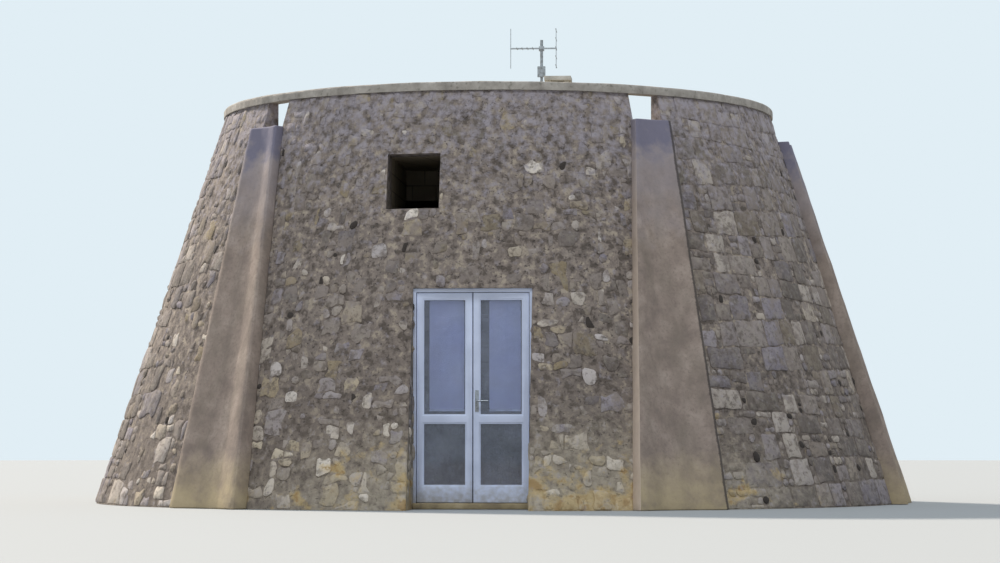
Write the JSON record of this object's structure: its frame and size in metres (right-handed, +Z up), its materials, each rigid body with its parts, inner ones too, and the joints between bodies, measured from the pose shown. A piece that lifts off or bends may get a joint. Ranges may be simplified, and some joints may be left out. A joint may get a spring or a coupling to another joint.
{
  "type": "trullo house",
  "caption": "Round battered stone tower house with a corbelled vault, flat roof behind a parapet, plastered rain chutes and a glazed double door.",
  "frame": {"origin": "on the tower's axis at ground level, on the underside of the floor slab", "axes": "+Z up along the tower's axis, -Y out through the door, +X to the right of someone who faces the door"},
  "size_m": [9.2964, 9.0589, 5.43],
  "materials": {
    "rubble_wall": "rough dry rubble",
    "plaster": "smooth lime plaster",
    "dome_stone": "rough",
    "paving_stone": "worn",
    "cement_coping": "cement",
    "cut_stone": "sawn",
    "floor_stone": "honed",
    "door_paint": "white paint, satin",
    "window_glass": "clear",
    "hinge_metal": "satin",
    "handle_metal": "satin",
    "blind_cloth": "matte",
    "blind_casing": "satin",
    "flue_render": "cement render",
    "mast_steel": "galvanised",
    "aerial_metal": "satin"
  },
  "bodies": {
    "tower": {"wall_front_right": "rubble_wall", "wall_right": "rubble_wall", "wall_back_right": "rubble_wall", "wall_back": "rubble_wall", "wall_back_left": "rubble_wall", "wall_left": "rubble_wall", "wall_front_left": "rubble_wall", "wall_over_door": "rubble_wall", "wall_beside_door_left": "rubble_wall", "wall_beside_door_right": "rubble_wall", "vault_front_right": "dome_stone", "vault_right": "dome_stone", "vault_back_right": "dome_stone", "vault_back": "dome_stone", "vault_back_left": "dome_stone", "vault_left": "dome_stone", "vault_front_left": "dome_stone", "vault_over_door": "dome_stone", "chute_front_right": "plaster", "chute_right": "plaster", "chute_back_right": "plaster", "chute_back_left": "plaster", "chute_left": "plaster", "chute_front_left": "plaster", "roof_paving": "paving_stone", "coping": "cement_coping", "door_lintel": "cut_stone", "door_sill": "cut_stone", "floor_slab": "floor_stone", "door_frame": "door_paint", "frame_hinges": "hinge_metal", "flue": "flue_render", "flue_cap": "flue_render", "aerial_mast": "mast_steel", "aerial": "aerial_metal"},
    "left_door": {"left_leaf": "door_paint", "left_glass": "window_glass", "left_hinges": "hinge_metal", "left_blind": "blind_cloth", "left_blind_fittings": "blind_casing"},
    "right_door": {"right_leaf": "door_paint", "right_glass": "window_glass", "right_hinges": "hinge_metal", "door_handle": "handle_metal", "right_blind": "blind_cloth", "right_blind_fittings": "blind_casing"}
  },
  "joints": [
    {"name": "left_door_hinge", "type": "hinge", "parent": "tower", "child": "left_door", "pos_m": [-0.577, -3.66046, 1.13], "axis": [0, 0, 1], "range_deg": [0, 90]},
    {"name": "right_door_hinge", "type": "hinge", "parent": "tower", "child": "right_door", "pos_m": [0.577, -3.66046, 1.13], "axis": [0, 0, -1], "range_deg": [0, 90]}
  ]
}
